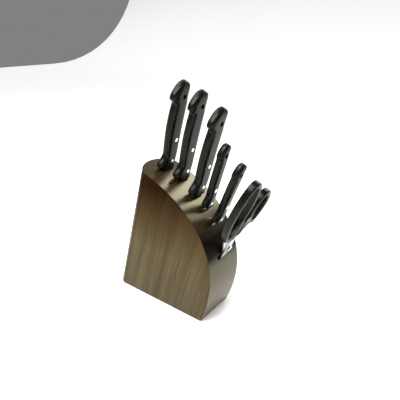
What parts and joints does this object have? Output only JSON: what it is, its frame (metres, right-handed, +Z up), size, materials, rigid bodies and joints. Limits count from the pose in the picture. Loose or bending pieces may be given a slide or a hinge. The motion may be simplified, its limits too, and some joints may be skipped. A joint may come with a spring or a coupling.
{
  "type": "knife block with knives",
  "caption": "Curved walnut knife block on a flat base, riveted black-handled kitchen knives and scissors standing in slanted cross slots.",
  "frame": {"origin": "middle of the block's footprint on the surface it stands on", "axes": "+X towards the curved front that the knives lean over, +Y towards the side that the blades' spines face, +Z up"},
  "size_m": [0.2509, 0.089, 0.3221],
  "materials": {
    "walnut": "satin lacquer",
    "core_wood": "sanded",
    "handle_plastic": "satin moulded",
    "blade_steel": "fine ground",
    "rivet_steel": "polished",
    "screw_zinc": "zinc plated"
  },
  "bodies": {
    "block": {"side_panel_left": "walnut", "side_panel_right": "walnut", "back_board": "walnut", "cover": "walnut", "base_board": "walnut", "core_board_1": "core_wood", "core_board_2": "core_wood", "core_board_3": "core_wood", "core_board_4": "core_wood", "core_board_5": "core_wood", "core_board_6": "core_wood", "core_board_7": "core_wood", "base_screw_1": "screw_zinc", "base_screw_2": "screw_zinc", "base_screw_3": "screw_zinc", "base_screw_4": "screw_zinc"},
    "bread_knife": {"bread_knife_handle": "handle_plastic", "bread_knife_blade": "blade_steel", "bread_knife_rivet_1": "rivet_steel", "bread_knife_rivet_2": "rivet_steel"},
    "chef_knife": {"chef_knife_handle": "handle_plastic", "chef_knife_blade": "blade_steel", "chef_knife_rivet_1": "rivet_steel", "chef_knife_rivet_2": "rivet_steel"},
    "carving_knife": {"carving_knife_handle": "handle_plastic", "carving_knife_blade": "blade_steel", "carving_knife_rivet_1": "rivet_steel", "carving_knife_rivet_2": "rivet_steel"},
    "utility_knife": {"utility_knife_handle": "handle_plastic", "utility_knife_blade": "blade_steel", "utility_knife_rivet_1": "rivet_steel", "utility_knife_rivet_2": "rivet_steel"},
    "paring_knife": {"paring_knife_handle": "handle_plastic", "paring_knife_blade": "blade_steel", "paring_knife_rivet_1": "rivet_steel", "paring_knife_rivet_2": "rivet_steel"},
    "scissors": {"scissors_finger_blade": "blade_steel", "scissors_finger_loop": "handle_plastic", "scissors_pivot_screw": "rivet_steel", "scissors_pivot_nut": "rivet_steel"},
    "scissors_thumb_half": {"scissors_thumb_blade": "blade_steel", "scissors_thumb_loop": "handle_plastic"}
  },
  "joints": [
    {"name": "bread_knife_draw", "type": "slide", "parent": "block", "child": "bread_knife", "axis": [0.2639, 0, 0.9646], "range_m": [0, 0.1999]},
    {"name": "chef_knife_draw", "type": "slide", "parent": "block", "child": "chef_knife", "axis": [0.2672, 0, 0.9636], "range_m": [0, 0.1916]},
    {"name": "carving_knife_draw", "type": "slide", "parent": "block", "child": "carving_knife", "axis": [0.2957, 0, 0.9553], "range_m": [0, 0.1762]},
    {"name": "utility_knife_draw", "type": "slide", "parent": "block", "child": "utility_knife", "axis": [0.2957, 0, 0.9553], "range_m": [0, 0.1451]},
    {"name": "paring_knife_draw", "type": "slide", "parent": "block", "child": "paring_knife", "axis": [0.3778, 0, 0.9259], "range_m": [0, 0.1166]},
    {"name": "scissors_draw", "type": "slide", "parent": "block", "child": "scissors", "axis": [0.4226, 0, 0.9063], "range_m": [0, 0.0974]},
    {"name": "scissors_open", "type": "hinge", "parent": "scissors", "child": "scissors_thumb_half", "pos_m": [0.09579, 0.0045, 0.10877], "axis": [-0.9063, 0, 0.4226], "range_deg": [0, 12]}
  ]
}
